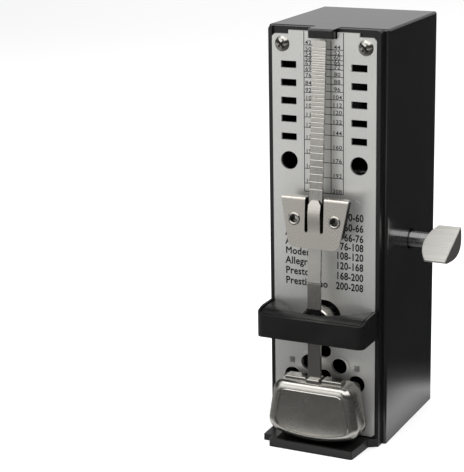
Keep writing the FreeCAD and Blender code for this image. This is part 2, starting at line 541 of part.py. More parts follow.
wy0, wy1 = sf + st, rod_y + 1.5
wside = (wt - wb) / slider_ht
wpts = [(-wb + 0.8, zb2 + 2.4), (wb - 0.8, zb2 + 2.4), (wb - 0.22 + 3.3 * wside, zb2 + 3.3), (wt - 0.22, zt - 0.1), (-wt + 0.22, zt - 0.1), (-wb + 0.22 - 3.3 * wside, zb2 + 3.3)]
wg = prism_y(wpts, wy0, wy1)
wg = wg.cut(Part.makeBox(6.0, 1.3, 30, V(-3.0, wy0 - 0.01, zb2 - 5)))
wg = wg.cut(Part.makeBox(rod_w + 0.3, rod_th / 2 + 0.15 + 1.2, 30, V(-rod_w / 2 - 0.15, rod_y - 1.2, zb2 - 5)))
for sx in (-1, 1):
    wg = wg.cut(Part.makeCylinder(1.2, 9, V(sx * 6.1, sf - 1, zt - 5.8), V(0, 1, 0)))
weight = solid("slider_weight_f", wg.removeSplitter())
leaned(weight)
node("slider_weight", weight)
eyes = []
for sx in (-1, 1):
    c = V(sx * 6.1, 0, zt - 5.8)
    tube = Part.makeCylinder(1.19, wy1 - sf + 0.24, V(c.x, sf - 0.02, c.z), V(0, 1, 0))
    flange = Part.makeTorus(1.45, 0.4, V(c.x, sf - 0.02, c.z), V(0, 1, 0)).common(Part.makeBox(6, 1, 6, V(c.x - 3, sf - 1.0, c.z - 3)))
    tail = Part.makeCylinder(1.5, 0.22, V(c.x, wy1, c.z), V(0, 1, 0))
    e = tube.fuse(flange).fuse(tail).cut(Part.makeCylinder(0.98, 12, V(c.x, sf - 4, c.z), V(0, 1, 0)))
    eyes.append(e)
ey = solid("slider_rivets_f", Part.makeCompound(eyes))
leaned(ey)
node("slider_rivets", ey)

# ================================================================== movement
# two side plates carry the train arbors, which all lie along X
py0, py1, pz0, pz1 = -16.2, 15.8, 20.0, 75.0
side_pts = [(py0, pz0), (py1, pz0), (py1, pz1), (py0, pz1)]
inter_y, inter_z = key_y + 1.88, key_z - math.sqrt(16.0 ** 2 - 1.88 ** 2)
esc_y, esc_z = inter_y + 8.32, inter_z + math.sqrt(9.6 ** 2 - 8.32 ** 2)
pillar_yz = ((-13.6, 28.0), (13.2, 28.0), (-13.6, 72.2), (13.2, 72.2))
post_yz = (key_y - 13.9, key_z)


def side_plate(sgn, holes):
    x0 = side_in if sgn > 0 else -side_in - side_th
    p = prism_x(side_pts, x0, x0 + side_th)
    # lower tab stands through the dial plate, upper tab takes the dial rivet,
    # and a tenon holds the front bearing plate
    p = p.fuse(Part.makeBox(side_th, 8, 1.6, V(x0, plate_front - 0.15, 22.4)))
    p = p.fuse(Part.makeBox(side_th, 6.2, 3.2, V(x0, plate_front + plate_th + 0.02, 70.25)))
    p = p.fuse(Part.makeBox(side_th, 1.6, 4.0, V(x0, py0 - 1.5, 32.6)))
    p = p.cut(Part.makeCylinder(0.45, 3.4, V(sgn * 9.95, plate_front, 71.85), V(0, 1, 0)))
    p = p.cut(Part.makeBox(side_th + 2, 1.24, 4.04, V(x0 - 1, 14.38, 33.48)))
    for y, z, r in holes:
        p = p.cut(Part.makeCylinder(r, 6, V(x0 - 2, y, z), V(1, 0, 0)))
    # lightening windows
    p = p.cut(Part.makeBox(6, 8.5, 10, V(x0 - 2, -7.5, 22.5 + 2)))
    return p.removeSplitter()


pill_holes = [(y, z, 0.85) for y, z in pillar_yz]
right_holes = [(key_y, key_z, wind_r + run_gap), (inter_y, inter_z, 0.65), (esc_y, esc_z, 0.55)] + pill_holes
left_holes = [(key_y, key_z, 1.5 + run_gap), (inter_y, inter_z, 0.65), (esc_y, esc_z, 0.55), (post_yz[0], post_yz[1], 0.8)] + pill_holes
rp = side_plate(1, right_holes)
lp = side_plate(-1, left_holes)
node("movement_plate_right", solid("movement_plate_right_f", rp))
node("movement_plate_left", solid("movement_plate_left_f", lp))
pill = []
for y, z in pillar_yz:
    c = Part.makeCylinder(1.8, 2 * side_in, V(-side_in, y, z), V(1, 0, 0))
    for x in (-side_in - 0.01, side_in - 3.0 + 0.01):
        c = c.cut(Part.makeCylinder(0.75, 3.0, V(x, y, z), V(1, 0, 0)))
    pill.append(c)
node("movement_pillars", solid("movement_pillars_f", Part.makeCompound(pill)))
scr = []
for y, z in pillar_yz:
    for sgn in (-1, 1):
        x = sgn * (side_in + side_th)
        s = Part.makeCylinder(1.5, 0.9, V(x, y, z), V(sgn, 0, 0)).fuse(Part.makeCylinder(0.74, side_th + 2.6, V(x, y, z), V(-sgn, 0, 0)))
        s = s.cut(Part.makeBox(0.5, 3.4, 0.4, V(x + (0.45 if sgn > 0 else -0.95), y - 1.7, z - 0.2)))
        scr.append(s.removeSplitter())
node("pillar_screws", solid("pillar_screws_f", Part.makeCompound(scr)))

# cross plates carry the pendulum arbor, which lies along Y
fy = py0 - 1.2
fp = Part.makeBox(2 * (side_in + side_th), 1.2, 13.0, V(-side_in - side_th, fy, 30.2))
for sx in (-1, 1):
    fp = fp.cut(Part.makeBox(side_th + 0.1, 3, 4.04, V(sx * (side_in + side_th / 2) - side_th / 2 - 0.05, fy - 1, 32.58)))
rpl = Part.makeBox(2 * side_in - 0.04, 1.2, 11.0, V(-side_in + 0.02, 14.4, 30.2)).fuse(
    Part.makeBox(2 * (side_in + side_th) - 0.1, 1.2, 4.0, V(-side_in - side_th + 0.05, 14.4, 33.5)))
for nm, cp, y0, bush in (("front_bearing_plate", fp, fy, "front_bush"), ("rear_bearing_plate", rpl, 14.4, "rear_bush")):
    cp = cp.cut(Part.makeCylinder(2.6, 4, V(0, y0 - 1, pivot_z), V(0, 1, 0)))
    node(nm, solid(nm + "_f", cp.removeSplitter()))
    bs = Part.makeCylinder(2.6, 1.8, V(0, y0 - 0.3, pivot_z), V(0, 1, 0)).cut(Part.makeCylinder(arbor_r + run_gap, 4, V(0, y0 - 1, pivot_z), V(0, 1, 0)))
    node(bush, solid(bush + "_f", bs))


# ------------------------------------------------------------------ gearing
def inv(a):
    return math.tan(a) - a


def gear_face(n, m, back, alpha=25.0, ha=0.7, hf=1.0, phase=0.0):
    """Outline of a spur wheel in its own plane (Y, Z), tooth 0 centred on +Y when phase is 0.
    back is how much each tooth is thinned at the pitch circle, for backlash."""
    al = math.radians(alpha)
    r = m * n / 2
    rb = r * math.cos(al)
    ra, rf = r + ha * m, r - hf * m
    half = (math.pi * m / 2 - back) / (2 * r)
    pts = []
    steps = 5
    r0 = max(rb, rf + 0.02 * m)
    for i in range(n):
        c = phase + 2 * math.pi * i / n
        flank = []
        for k in range(steps + 1):
            rr = r0 + (ra - r0) * k / steps
            a = math.acos(min(1.0, rb / rr))
            flank.append((rr, half + inv(al) - inv(a)))
        base_half = flank[0][1]
        pts.append((rf, c - base_half))
        for rr, h2 in flank:
            pts.append((rr, c - h2))
        for rr, h2 in reversed(flank):
            pts.append((rr, c + h2))
        pts.append((rf, c + base_half))
    return [(rr * math.cos(t), rr * math.sin(t)) for rr, t in pts]


def spur(n, m, back, x0, x1, cy, cz, bore, phase):
    pts = [(cy + a, cz + b2) for a, b2 in gear_face(int(n), m, back, phase=phase)]
    g2 = prism_x(pts, x0, x1)
    return g2.cut(Part.makeCylinder(bore, x1 - x0 + 2, V(x0 - 1, cy, cz), V(1, 0, 0)))


bl = 0.05
# direction from the great wheel to the intermediate arbor, and on to the escape arbor
ang_gi = math.atan2(inter_z - key_z, inter_y - key_y)
ang_ie = math.atan2(esc_z - inter_z, esc_y - inter_y)
ph_great = ang_gi                                   # a great-wheel tooth on the line of centres
ph_ipin = ang_gi + math.pi + math.pi / inter_leaves   # a pinion space facing it
gw_x0, gw_x1 = 6.8, 8.0
great = spur(great_teeth, great_mod, bl, gw_x0, gw_x1, key_y, key_z, wind_r + run_gap, ph_great)
click_a = math.radians(62.0)
click_pr = 8.3
click_py, click_pz = key_y + click_pr * math.cos(click_a), key_z + click_pr * math.sin(click_a)
great = great.cut(Part.makeCylinder(0.6, 3, V(gw_x0 - 1, click_py, click_pz), V(1, 0, 0)))
for k in range(5):
    a = math.radians(62 + 180 - 72 + k * 36)
    great = great.cut(Part.makeCylinder(2.3, 3, V(gw_x0 - 1, key_y + 8.4 * math.cos(a), key_z + 8.4 * math.sin(a)), V(1, 0, 0)))
node("great_wheel", solid("great_wheel_f", great))

ipin = spur(inter_leaves, great_mod, bl, gw_x0 - 0.3, gw_x1 + 0.3, inter_y, inter_z, 0.75, ph_ipin)
node("intermediate_pinion", solid("intermediate_pinion_f", ipin))
iw = spur(inter_teeth, inter_mod, bl, 3.9, 4.6, inter_y, inter_z, 0.75, ang_ie)
for k in range(5):
    a = math.radians(36 + k * 72)
    iw = iw.cut(Part.makeCylinder(1.8, 3, V(2.9, inter_y + 4.6 * math.cos(a), inter_z + 4.6 * math.sin(a)), V(1, 0, 0)))
node("intermediate_wheel", solid("intermediate_wheel_f", iw))
ia = Part.makeCylinder(0.75, 2 * side_in - 0.4, V(-side_in + 0.2, inter_y, inter_z), V(1, 0, 0)).fuse(
    Part.makeCylinder(0.6, 2 * side_in + 2 * side_th - 0.4, V(-side_in - side_th + 0.2, inter_y, inter_z), V(1, 0, 0)))
node("intermediate_arbor", solid("intermediate_arbor_f", ia.removeSplitter()))

epin = spur(escape_leaves, inter_mod, bl, 3.7, 4.9, esc_y, esc_z, 0.6, ang_ie + math.pi + math.pi / escape_leaves)
node("escape_pinion", solid("escape_pinion_f", epin))
n = int(escape_teeth)
pts = []
for i in range(n):
    c = 2 * math.pi * i / n
    for rr, t in ((escape_r - 1.7, c - 0.30 * 2 * math.pi / n), (escape_r, c + 0.02), (escape_r, c + 0.07), (escape_r - 1.7, c + 0.22 * 2 * math.pi / n)):
        pts.append((esc_y + rr * math.cos(t), esc_z + rr * math.sin(t)))
ew = prism_x(pts, -0.4, 0.4).fuse(Part.makeCylinder(1.6, 2.4, V(-1.2, esc_y, esc_z), V(1, 0, 0)))
ew = ew.cut(Part.makeCylinder(0.6, 6, V(-3, esc_y, esc_z), V(1, 0, 0)))
node("escape_wheel", solid("escape_wheel_f", ew.removeSplitter()))
ea = Part.makeCylinder(0.6, 2 * side_in - 0.4, V(-side_in + 0.2, esc_y, esc_z), V(1, 0, 0)).fuse(
    Part.makeCylinder(0.5, 2 * side_in + 2 * side_th - 0.4, V(-side_in - side_th + 0.2, esc_y, esc_z), V(1, 0, 0)))
node("escape_arbor", solid("escape_arbor_f", ea.removeSplitter()))

# pallets: two plates on the pendulum arbor, one on each side of the escape wheel
for nm, yc, sx in (("front_pallet", 5.5, 1), ("rear_pallet", 12.2, -1)):
    col = Part.makeCylinder(2.5, 2.0, V(0, yc - 1.0, pivot_z), V(0, 1, 0))
    # the collar is flattened on top, under the wheel
    col = col.cut(Part.makeBox(6, 3, 3, V(-3, yc - 1.5, pivot_z + 1.85)))
    arm = Part.makeBox(0.7, 2.0, 4.2, V(sx * 2.2 - 0.35, yc - 1.0, pivot_z + 0.4))
    face = prism_z([(sx * 1.86, yc - 1.0), (sx * 2.55, yc - 1.0), (sx * 2.55, yc + 1.0), (sx * 2.2, yc + 1.0)], pivot_z + 4.5, pivot_z + 5.8)
    pl = col.fuse(arm).fuse(face).cut(Part.makeCylinder(arbor_r, 6, V(0, yc - 3, pivot_z), V(0, 1, 0)))
    node(nm, solid(nm + "_f", pl.removeSplitter()))

# -------------------------------------------------------- winding and spring
wa = Part.makeCylinder(wind_r, side_in + side_th + 0.6 + side_in - 0.2, V(-side_in + 0.2, key_y, key_z), V(1, 0, 0))
wa = wa.fuse(Part.makeCylinder(1.5, side_th, V(-side_in - side_th + 0.3, key_y, key_z), V(1, 0, 0)))
wa = wa.fuse(Part.makeCylinder(1.5, 6.6, V(side_in + side_th + 0.4, key_y, key_z), V(1, 0, 0)))
node("winding_arbor", solid("winding_arbor_f", wa.removeSplitter()))
n = int(ratchet_teeth)
pts = []
for i in range(n):
    c = click_a + 2 * math.pi * i / n
    for rr, t in ((ratchet_r - 0.6, c + 0.012), (ratchet_r, c + 0.02), (ratchet_r, c + 0.05)):
        pts.append((key_y + rr * math.cos(t), key_z + rr * math.sin(t)))
rw = prism_x(pts, 5.1, 6.3).fuse(Part.makeCylinder(3.0, 1.65, V(5.1, key_y, key_z), V(1, 0, 0)))
rw = rw.cut(Part.makeCylinder(wind_r, 4, V(4, key_y, key_z), V(1, 0, 0)))
node("ratchet_wheel", solid("ratchet_wheel_f", rw.removeSplitter()))
# click: its nose rests in a tooth space, its tail takes the spring
tang = V(0, -math.sin(click_a), math.cos(click_a))
rad = V(0, math.cos(click_a), math.sin(click_a))
pc = V(0, click_py, click_pz)


def at(radial, along):
    p = V(0, key_y, key_z) + rad * radial + tang * along
    return (p.y, p.z)


click_x0, click_x1 = 5.3, 6.3
cl = prism_x([at(ratchet_r - 0.42, -0.10), at(ratchet_r + 0.15, -0.62), at(click_pr - 0.2, -1.6), at(click_pr + 1.2, -0.9), at(click_pr + 1.25, 0.6),
              at(click_pr + 0.2, 1.5), at(ratchet_r + 0.5, 0.1)], click_x0, click_x1)
cl = cl.fuse(Part.makeCylinder(1.45, gw_x0 - click_x0 - 0.02, V(click_x0, click_py, click_pz), V(1, 0, 0)))
cl = cl.cut(Part.makeCylinder(0.63, 4, V(4, click_py, click_pz), V(1, 0, 0)))
node("click", solid("click_f", cl.removeSplitter()))
cs = Part.makeCylinder(0.58, gw_x1 - click_x0 + 0.1, V(click_x0 - 0.1, click_py, click_pz), V(1, 0, 0)).fuse(
    Part.makeCylinder(1.2, 0.5, V(click_x0 - 0.55, click_py, click_pz), V(1, 0, 0)))
node("click_screw", solid("click_screw_f", cs.removeSplitter()))
s0, s1 = at(click_pr + 1.5, -0.9), at(click_pr + 0.4, -6.6)
p0, p1 = V(5.6, s0[0], s0[1]), V(5.6, s1[0], s1[1])
d = (p1 - p0).normalize()
spring = Part.makeCylinder(0.15, (p1 - p0).Length if False else 5.8, p0, d)
post = Part.makeCylinder(0.6, gw_x0 - 5.2 + 0.5, V(5.2, p0.y + d.y * 5.6, p0.z + d.z * 5.6), V(1, 0, 0))
node("click_spring", solid("click_spring_f", spring.fuse(post).removeSplitter()))
doc.getObject("great_wheel_f").Shape = doc.getObject("great_wheel_f").Shape.cut(
    Part.makeCylinder(0.6, 3, V(gw_x0 - 0.001, p0.y + d.y * 5.6, p0.z + d.z * 5.6), V(1, 0, 0)).common(
        Part.makeBox(0.5, 40, 40, V(gw_x0 - 0.001, -21, 37))))

# mainspring: a flat spiral between the winding arbor and its post
turns, sp_t = 6.0, 0.28
r_in, r_out = wind_r + 0.18 + sp_t, 12.0
per = 20


def spiral(off):
    out = []
    total = int(turns * per)
    for i in range(total + 1):
        t = i / total
        a = math.pi + 2 * math.pi * turns * (t - 1.0)
        r = r_in + (r_out - r_in) * t + off
        out.append(V(-8.6, key_y + r * math.cos(a), key_z + r * math.sin(a)))
    return out


inner_pts, outer_pts = spiral(-sp_t), spiral(0.0)


def curve(pts2):
    c = Part.BSplineCurve()
    c.interpolate(pts2)
    return c.toShape()


w = Part.Wire([curve(outer_pts), Part.makeLine(outer_pts[-1], inner_pts[-1]), curve(inner_pts), Part.makeLine(inner_pts[0], outer_pts[0])])
spr = Part.Face(w).extrude(V(6.0, 0, 0))
eye = Part.makeCylinder(1.08 + 0.3, 6.0, V(-8.6, post_yz[0], post_yz[1]), V(1, 0, 0)).cut(Part.makeCylinder(1.08, 8, V(-9.6, post_yz[0], post_yz[1]), V(1, 0, 0)))
link = Part.makeBox(6.0, (key_y - r_out + 0.14) - (post_yz[0] + 1.2) , 0.3, V(-8.6, post_yz[0] + 1.2, key_z - 0.15))
node("mainspring", solid("mainspring_f", spr.fuse(eye).fuse(link)))
sp = Part.makeCylinder(1.05, 6.6, V(-side_in + 0.01, post_yz[0], post_yz[1]), V(1, 0, 0)).fuse(Part.makeCylinder(0.79, side_th + 0.2, V(-side_in - side_th, post_yz[0], post_yz[1]), V(1, 0, 0)))
node("spring_post", solid("spring_post_f", sp.removeSplitter()))

# ---------------------------------------------------------------------- key
sh_x0 = side_in + side_th + 0.7
tr = math.radians(knob_turn)
u = V(0, math.cos(tr), math.sin(tr))       # along the thumb piece
nn = V(0, -math.sin(tr), math.cos(tr))     # out of its flat face
flat = 3.3                                 # the flat lies this far from the shaft axis
ua, ub = -12.0, 3.7                       # ends of the flat along the thumb piece
off = (ua + ub) / 2 + 0.4
# local x = u, local y = n, local z = X
m = FreeCAD.Matrix(0, 0, 1, 0, u.y, nn.y, 0, key_y, u.z, nn.z, 0, key_z, 0, 0, 0, 1)
ks = Part.makeCylinder(key_shaft_r, knob_x0 + 0.9 - sh_x0, V(0, 0, sh_x0))
ks = ks.cut(Part.makeCylinder(1.52, 7.0, V(0, 0, sh_x0 - 0.5)))
ks = ks.fuse(Part.makeCylinder(1.6, 5.5, V(0, 0, knob_x0 + 0.5))).removeSplitter()
# thumb piece: flat on top, its back a smooth hump over the shaft that runs out
# thin at the long end; the end towards the case is bowed out
hump_pts = [(ub, 0), (ub - 0.3, -1.4), (ub - 0.8, -2.85), (ub - 1.75, -4.55), (ub - 3.2, -5.65), (ub - 5.7, -5.95), (ub - 9.2, -4.9), (ub - 12.8, -2.85), (ub - 15.1, -1.15), (ua, 0)]
back_c = Part.BSplineCurve()
back_c.interpolate([V(x5, flat + y5, 0) for x5, y5 in hump_pts])
f1 = Part.Face(Part.Wire([back_c.toShape(), Part.makeLine(V(ua, flat, 0), V(ub, flat, 0))]))
blk = f1.extrude(V(0, 0, knob_x1 - knob_x0))
blk.translate(V(0, 0, knob_x0))
bulge = 14.2
blk = blk.common(Part.makeCylinder(bulge, 20, V(off, -12, knob_x0 + bulge), V(0, 1, 0)).fuse(Part.makeBox(40, 20, 16, V(off - 20, -12, knob_x0 + 3.2))))
blk = blk.removeSplitter()
edges = [e for e in blk.Edges if e.BoundBox.YMax > flat - 0.01]
try:
    blk = blk.makeChamfer(0.16, edges)
except Exception:
    pass
blk = blk.cut(ks)
for q in (ks, blk):
    q.transformShape(m)
node("key_shaft", solid("key_shaft_f", ks))
node("key_knob", solid("key_knob_f", blk))

# ------------------------------------------------------------- base fasteners
bsc = []
for x, y in ((-12.6, -19.4), (12.6, -19.4), (-13.6, 15.6), (13.6, 15.6)):
    s = Part.makeCylinder(2.1, 1.0, V(x, y, 0.3), V(0, 0, 1)).fuse(Part.makeCylinder(0.94, 6.2, V(x, y, 0.3), V(0, 0, 1)))
    for a, b2 in ((0.4, 2.2), (2.2, 0.4)):
        s = s.cut(Part.makeBox(a, b2, 0.6, V(x - a / 2, y - b2 / 2, 0.29)))
    bsc.append(s.removeSplitter())
node("base_screws", solid("base_screws_f", Part.makeCompound(bsc)))

# ==================================================================== export
doc.recompute()
bad = [o.Name for o in doc.Objects if "Invalid" in o.State or "Error" in o.State]
if bad:
    raise RuntimeError("failed objects: %s" % bad)
os.makedirs("parts", exist_ok=True)
for f in os.listdir("parts"):
    if f.endswith(".step"):
        os.remove(os.path.join("parts", f))
for name, obj in NODES:
    s = obj.Shape
    if s.isNull() or not s.isValid():
        raise RuntimeError("bad shape: " + name)
    if s.Volume <= 0:
        raise RuntimeError("no volume: " + name)
    s.exportStep("parts/%s.step" % name)
    bb = s.BoundBox
    print("%-22s solids %d vol %9.2f  x %.2f..%.2f y %.2f..%.2f z %.2f..%.2f" % (name, len(s.Solids), s.Volume, bb.XMin, bb.XMax, bb.YMin, bb.YMax, bb.ZMin, bb.ZMax))
print(len(NODES), "nodes")
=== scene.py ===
import json
import math

import bmesh
import bpy
from mathutils import Matrix, Vector


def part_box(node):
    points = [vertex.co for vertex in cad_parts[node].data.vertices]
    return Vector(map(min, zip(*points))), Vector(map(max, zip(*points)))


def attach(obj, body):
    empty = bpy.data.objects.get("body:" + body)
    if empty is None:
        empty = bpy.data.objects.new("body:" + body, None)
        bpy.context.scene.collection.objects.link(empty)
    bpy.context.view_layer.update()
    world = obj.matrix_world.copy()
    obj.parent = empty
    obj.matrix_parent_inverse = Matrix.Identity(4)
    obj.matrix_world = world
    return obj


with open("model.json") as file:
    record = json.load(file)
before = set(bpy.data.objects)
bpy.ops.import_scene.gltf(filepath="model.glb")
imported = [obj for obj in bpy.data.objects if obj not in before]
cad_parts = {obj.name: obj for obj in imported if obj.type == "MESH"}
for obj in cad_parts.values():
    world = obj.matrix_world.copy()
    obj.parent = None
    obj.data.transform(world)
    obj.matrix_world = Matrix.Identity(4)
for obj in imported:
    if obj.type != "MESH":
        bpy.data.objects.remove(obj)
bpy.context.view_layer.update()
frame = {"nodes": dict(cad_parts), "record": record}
N = frame["nodes"]
MM = 0.001


# ------------------------------------------------------------ node helpers
def srgb(v):
    return tuple((c / 12.92 if c <= 0.04045 else ((c + 0.055) / 1.055) ** 2.4) for c in v) + (1.0,)


def grey(v, tint=(1.0, 1.0, 1.0)):
    return srgb(tuple(v / 255.0 * t for t in tint))


class Mat:
    """A small builder around one Principled material."""

    def __init__(self, name, **sockets):
        self.m = bpy.data.materials.new(name)
        self.m.use_nodes = True
        self.t = self.m.node_tree
        self.b = self.t.nodes["Principled BSDF"]
        for k, v in sockets.items():
            self.b.inputs[k.replace("_", " ")].default_value = v
        self._co = None

    def n(self, kind, **props):
        node = self.t.nodes.new(kind)
        for k, v in props.items():
            setattr(node, k, v)
        return node

    def link(self, a, b):
        self.t.links.new(a, b)

    def co(self, scale=(1, 1, 1), rot=(0, 0, 0)):
        if self._co is None:
            self._co = self.n("ShaderNodeTexCoord")
        mp = self.n("ShaderNodeMapping")
        mp.inputs["Scale"].default_value = scale
        mp.inputs["Rotation"].default_value = rot
        self.link(self._co.outputs["Object"], mp.inputs["Vector"])
        return mp.outputs["Vector"]

    def noise(self, vec, scale, detail=4.0, rough=0.55):
        x = self.n("ShaderNodeTexNoise")
        x.inputs["Scale"].default_value = scale
        x.inputs["Detail"].default_value = detail
        x.inputs["Roughness"].default_value = rough
        self.link(vec, x.inputs["Vector"])
        return x.outputs["Fac"]

    def ramp(self, fac, stops):
        r = self.n("ShaderNodeValToRGB")
        e = r.color_ramp.elements
        while len(e) < len(stops):
            e.new(0.5)
        for el, (p, c) in zip(e, stops):
            el.position = p
            el.color = c if len(c) == 4 else tuple(c) + (1.0,)
        self.link(fac, r.inputs["Fac"])
        return r.outputs["Color"]

    def rng(self, fac, a, b, lo, hi):
        r = self.n("ShaderNodeMapRange")
        for k, v in (("From Min", a), ("From Max", b), ("To Min", lo), ("To Max", hi)):
            r.inputs[k].default_value = v
        self.link(fac, r.inputs["Value"])
        return r.outputs["Result"]

    def math(self, op, a, b=None):
        r = self.n("ShaderNodeMath", operation=op)
        for i, v in enumerate((a, b)):
            if v is None:
                continue
            if isinstance(v, (int, float)):
                r.inputs[i].default_value = v
            else:
                self.link(v, r.inputs[i])
        return r.outputs[0]

    def mix(self, fac, a, b):
        r = self.n("ShaderNodeMix", data_type="RGBA")
        for sock, v in ((r.inputs["Factor"], fac), (r.inputs[6], a), (r.inputs[7], b)):
            if isinstance(v, (tuple, list, int, float)):
                sock.default_value = v
            else:
                self.link(v, sock)
        return r.outputs[2]

    def bump(self, height, strength, dist, chain=None):
        b = self.n("ShaderNodeBump")
        b.inputs["Strength"].default_value = strength
        b.inputs["Distance"].default_value = dist
        self.link(height, b.inputs["Height"])
        if chain is not None:
            self.link(chain, b.inputs["Normal"])
        return b.outputs["Normal"]

    def set(self, **kw):
        for k, v in kw.items():
            self.link(v, self.b.inputs[k.replace("_", " ")])
        return self


# --------------------------------------------------------------- materials
def gloss_black():
    M = Mat("gloss_black", Specular_IOR_Level=0.5, IOR=1.5, Coat_Weight=0.25, Coat_Roughness=0.06)
    v = M.co()
    big = M.noise(v, 38.0, 2.0, 0.5)
    fine = M.noise(v, 900.0, 3.0, 0.5)
    M.set(Base_Color=M.ramp(big, ((0.3, grey(20, (1, 1, 1.01))), (0.7, grey(23, (1, 1, 1.02))))),
          Roughness=M.rng(fine, 0.3, 0.7, 0.10, 0.16))
    nb = M.bump(big, 0.12, 0.0006)
    M.set(Normal=M.bump(fine, 0.05, 0.00003, nb))
    return M.m


def black_plastic():
    M = Mat("black_plastic", Specular_IOR_Level=0.5, IOR=1.5)
    v = M.co()
    fine = M.noise(v, 1600.0, 4.0, 0.6)
    big = M.noise(v, 90.0, 3.0, 0.5)
    M.set(Base_Color=M.ramp(big, ((0.3, grey(14)), (0.7, grey(18)))), Roughness=M.rng(big, 0.3, 0.7, 0.26, 0.36))
    M.set(Normal=M.bump(fine, 0.12, 0.00004))
    return M.m


def silver_plate():
    """Satin anodised sheet: a fine even grain with a very faint vertical drift."""
    M = Mat("silver_plate", Metallic=0.72, Specular_IOR_Level=0.5)
    v = M.co()
    grain = M.noise(v, 5200.0, 2.0, 0.7)
    cloud = M.noise(v, 60.0, 3.0, 0.5)
    streak = M.noise(M.co(scale=(900, 900, 14)), 1.0, 3.0, 0.6)
    base = M.mix(M.rng(grain, 0.35, 0.65, 0.0, 1.0), grey(214, (1.0, 1.0, 0.985)), grey(224, (1.0, 1.0, 0.985)))
    base = M.mix(M.rng(cloud, 0.3, 0.7, 0.0, 0.16), base, grey(180, (1.0, 0.99, 0.97)))
    rough = M.math("ADD", M.rng(grain, 0.3, 0.7, 0.28, 0.36), M.rng(streak, 0.3, 0.7, -0.02, 0.03))
    M.set(Base_Color=base, Roughness=rough, Normal=M.bump(grain, 0.10, 0.00002))
    return M.m


def metal(name, v0, v1, rough, tint=(1, 1, 1), brushed=None, scale=2200.0, bump=0.06, blotch=0.12, turned=0.0):
    """Plain metal with grain; brushed gives the stretch of the grain along X, Y, Z, turned the pull of lathe marks round X."""
    M = Mat(name, Metallic=1.0, Anisotropic=turned, Anisotropic_Rotation=0.25 if turned else 0.0)
    if turned:
        tan = M.n("ShaderNodeTangent", direction_type="RADIAL", axis="X")
        M.link(tan.outputs[0], M.b.inputs["Tangent"])
    if brushed:
        g = M.noise(M.co(scale=brushed), 1.0, 5.0, 0.65)
    else:
        g = M.noise(M.co(), scale, 3.0, 0.6)
    cloud = M.noise(M.co(), 130.0, 3.0, 0.55)
    base = M.mix(M.rng(g, 0.3, 0.7, 0.0, 1.0), grey(v0, tint), grey(v1, tint))
    base = M.mix(M.rng(cloud, 0.35, 0.75, 0.0, blotch), base, grey(v0 * 0.8, tint))
    M.set(Base_Color=base, Roughness=M.math("ADD", M.rng(g, 0.3, 0.7, rough[0], rough[1]), M.rng(cloud, 0.3, 0.7, -0.03, 0.03)),
          Normal=M.bump(g, bump, 0.00003))
    return M.m


def eyelet():
    """Nickel eyelets with painted shade inside their bores; an eye stands each side of the rod, 6.1 mm out."""
    M = Mat("eyelet_nickel", Metallic=1.0)
    v = M.co()
    sep = M.n("ShaderNodeSeparateXYZ")
    M.link(v, sep.inputs[0])
    ax = M.math("SUBTRACT", M.math("ABSOLUTE", sep.outputs[0]), 0.0061)
    az = M.math("SUBTRACT", sep.outputs[2], EYE_Z)
    rad = M.math("SQRT", M.math("ADD", M.math("MULTIPLY", ax, ax), M.math("MULTIPLY", az, az)))
    g = M.noise(v, 2600.0, 3.0, 0.6)
    base = M.mix(M.rng(g, 0.3, 0.7, 0.0, 1.0), grey(196, (1, 0.985, 0.95)), grey(208, (1, 0.985, 0.95)))
    # painted shade: within 1.0–1.14 mm of each eye's centre the bore is darkened to grey 44
    painted_bore_shade = M.rng(rad, 0.00100, 0.00114, 1.0, 0.0)
    M.set(Base_Color=M.mix(painted_bore_shade, base, grey(44)), Roughness=M.rng(g, 0.3, 0.7, 0.20, 0.28), Normal=M.bump(g, 0.02, 0.00003))
    return M.m


def screw_steel():
    """Bright domed heads, with painted shade in the cross recess and round the foot of the dome."""
    M = Mat("screw_steel", Metallic=1.0)
    v = M.co()
    sep = M.n("ShaderNodeSeparateXYZ")
    M.link(v, sep.inputs[0])
    ax = M.math("SUBTRACT", M.math("ABSOLUTE", sep.outputs[0]), SCREW_X)
    az = M.math("SUBTRACT", sep.outputs[2], SCREW_Z)
    rad = M.math("SQRT", M.math("ADD", M.math("MULTIPLY", ax, ax), M.math("MULTIPLY", az, az)))
    p = M.math("ABSOLUTE", M.math("MULTIPLY", M.math("ADD", ax, az), 0.7071))
    q = M.math("ABSOLUTE", M.math("MULTIPLY", M.math("SUBTRACT", ax, az), 0.7071))
    arm = M.rng(M.math("MINIMUM", p, q), 0.00022, 0.00034, 1.0, 0.0)
    # painted shade: the cross recess and a ring round the foot of the dome are mixed towards grey 108
    cross = M.math("MULTIPLY", arm, M.rng(rad, 0.00115, 0.00135, 1.0, 0.0))
    painted_foot_shade = M.rng(rad, 0.00170, 0.00220, 0.0, 0.45)
    g = M.noise(v, 2400.0, 3.0, 0.6)
    base = M.mix(M.rng(g, 0.3, 0.7, 0.0, 1.0), grey(178, (1, 0.985, 0.95)), grey(194, (1, 0.985, 0.95)))
    M.set(Base_Color=M.mix(M.math("MAXIMUM", cross, painted_foot_shade), base, grey(108, (1, 0.98, 0.94))),
          Roughness=M.rng(g, 0.3, 0.7, 0.17, 0.23), Normal=M.bump(g, 0.02, 0.00003))
    return M.m


def ink():
    M = Mat("printing_ink", Specular_IOR_Level=0.3)
    g = M.noise(M.co(), 3000.0, 3.0, 0.6)
    M.set(Base_Color=M.ramp(g, ((0.3, grey(24)), (0.7, grey(34)))), Roughness=M.rng(g, 0.3, 0.7, 0.42, 0.6))
    return M.m


